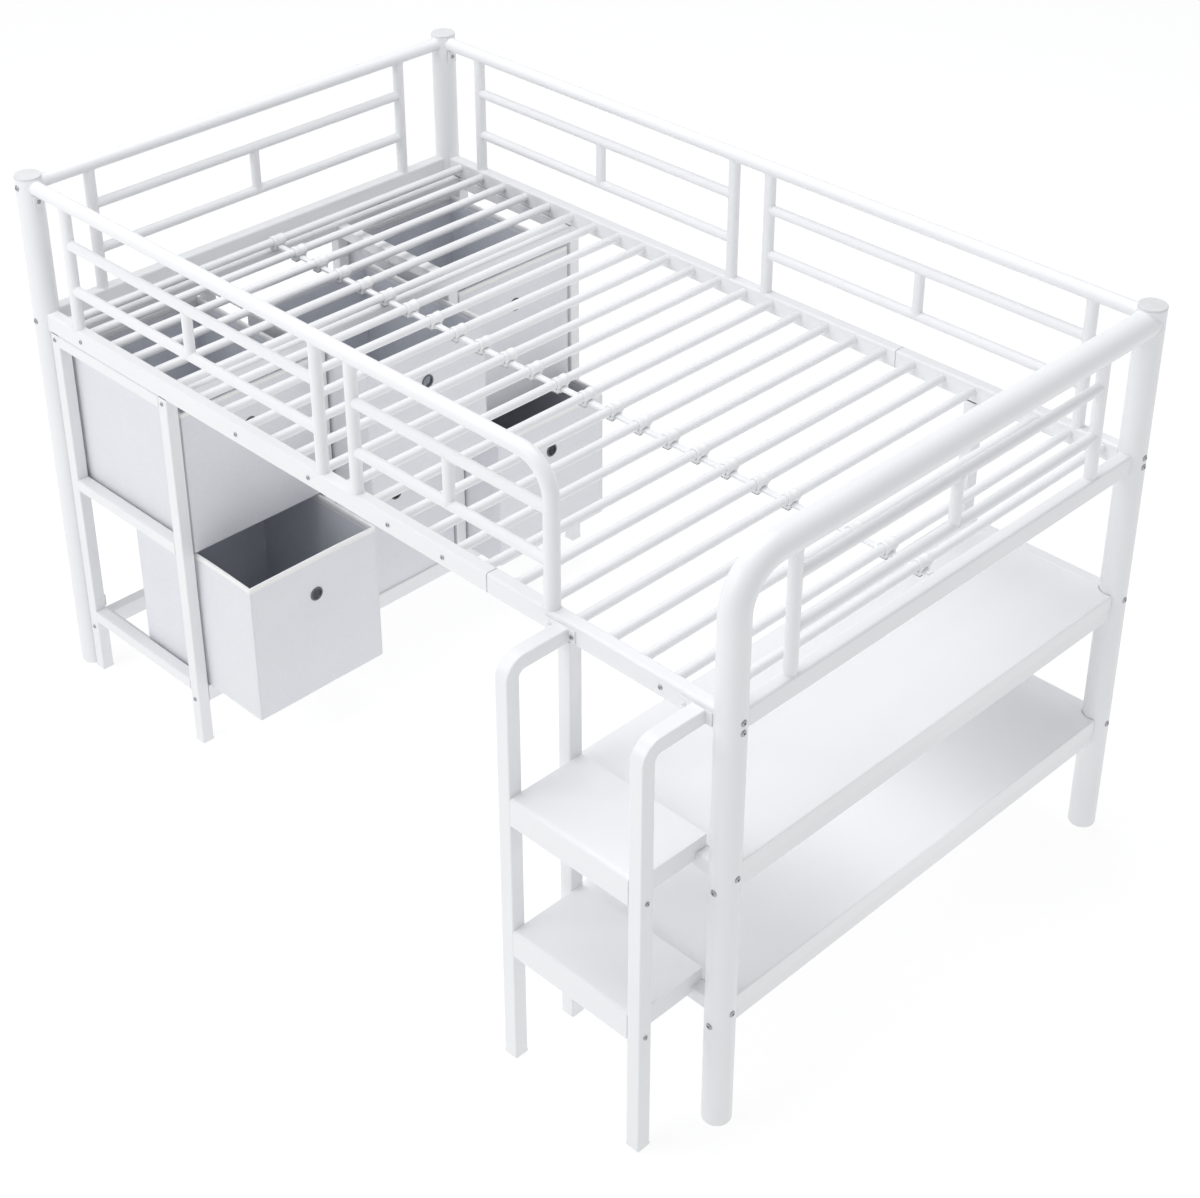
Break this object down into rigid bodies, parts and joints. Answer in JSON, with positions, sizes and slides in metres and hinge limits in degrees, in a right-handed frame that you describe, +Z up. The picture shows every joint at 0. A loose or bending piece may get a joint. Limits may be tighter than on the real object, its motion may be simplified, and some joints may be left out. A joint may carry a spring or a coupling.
{
  "type": "loft bed with desk",
  "caption": "Low metal loft bed with slatted deck, guard rails, side ladder, desk and shelf boards at the foot, and a cabinet of pull-out fabric bins under the head.",
  "frame": {"origin": "floor level, under the centre of the whole footprint, ladder included", "axes": "+X along the bed from the head end to the foot end with the desk, +Y away from the ladder, +Z up"},
  "size_m": [2.0104, 1.3272, 1.222],
  "materials": {
    "frame_paint": "satin",
    "white_plastic": "satin",
    "board": "satin white laminate",
    "bin_fabric": "matte",
    "eyelet": "satin",
    "bolt_steel": "satin"
  },
  "bodies": {
    "frame": {"post_head_front": "frame_paint", "post_head_back": "frame_paint", "post_foot_back": "frame_paint", "foot_bent_tube": "frame_paint", "head_top_rail": "frame_paint", "head_crossbar": "frame_paint", "head_panel_bars": "frame_paint", "foot_crossbar": "frame_paint", "foot_panel_bars": "frame_paint", "front_guard_rail": "frame_paint", "front_guard_bars": "frame_paint", "back_guard_rail": "frame_paint", "back_guard_bars": "frame_paint", "guard_tabs": "frame_paint", "side_rail_front_head": "frame_paint", "side_rail_front_foot": "frame_paint", "side_rail_back_head": "frame_paint", "side_rail_back_foot": "frame_paint", "rail_sleeves": "frame_paint", "slats": "frame_paint", "slat_tie": "frame_paint", "desk_frame": "frame_paint", "shelf_frame": "frame_paint", "desk_legs": "frame_paint", "ladder_front_legs": "frame_paint", "ladder_plates": "frame_paint", "ladder_step_upper": "frame_paint", "ladder_step_lower": "frame_paint", "cabinet_legs": "frame_paint", "cabinet_uprights": "frame_paint", "cabinet_low_bars": "frame_paint", "cabinet_top_bars": "frame_paint", "cabinet_rails_low": "frame_paint", "cabinet_rails_mid": "frame_paint", "cabinet_rails_top": "frame_paint", "bin_ledges": "frame_paint", "bin_stops": "frame_paint", "post_caps": "white_plastic", "post_glides": "white_plastic", "slat_clips": "white_plastic", "leg_plugs": "white_plastic", "desk_board": "board", "shelf_board": "board", "post_bolts": "bolt_steel", "rail_screws": "bolt_steel", "leg_screws": "bolt_steel"},
    "bin_low_front_body": {"bin_low_front": "bin_fabric", "grommet_low_front": "eyelet"},
    "bin_low_mid_body": {"bin_low_mid": "bin_fabric", "grommet_low_mid": "eyelet"},
    "bin_low_back_body": {"bin_low_back": "bin_fabric", "grommet_low_back": "eyelet"},
    "bin_top_front_body": {"bin_top_front": "bin_fabric", "grommet_top_front": "eyelet"},
    "bin_top_mid_body": {"bin_top_mid": "bin_fabric", "grommet_top_mid": "eyelet"},
    "bin_top_back_body": {"bin_top_back": "bin_fabric", "grommet_top_back": "eyelet"}
  },
  "joints": [
    {"name": "bin_low_front_slide", "type": "slide", "parent": "frame", "child": "bin_low_front_body", "axis": [1, 0, 0], "range_m": [-0.183, 0.147]},
    {"name": "bin_low_mid_slide", "type": "slide", "parent": "frame", "child": "bin_low_mid_body", "axis": [1, 0, 0], "range_m": [0, 0.33]},
    {"name": "bin_low_back_slide", "type": "slide", "parent": "frame", "child": "bin_low_back_body", "axis": [1, 0, 0], "range_m": [-0.116, 0.214]},
    {"name": "bin_top_front_slide", "type": "slide", "parent": "frame", "child": "bin_top_front_body", "axis": [1, 0, 0], "range_m": [0, 0.33]},
    {"name": "bin_top_mid_slide", "type": "slide", "parent": "frame", "child": "bin_top_mid_body", "axis": [1, 0, 0], "range_m": [-0.128, 0.202]},
    {"name": "bin_top_back_slide", "type": "slide", "parent": "frame", "child": "bin_top_back_body", "axis": [1, 0, 0], "range_m": [0, 0.33]}
  ]
}
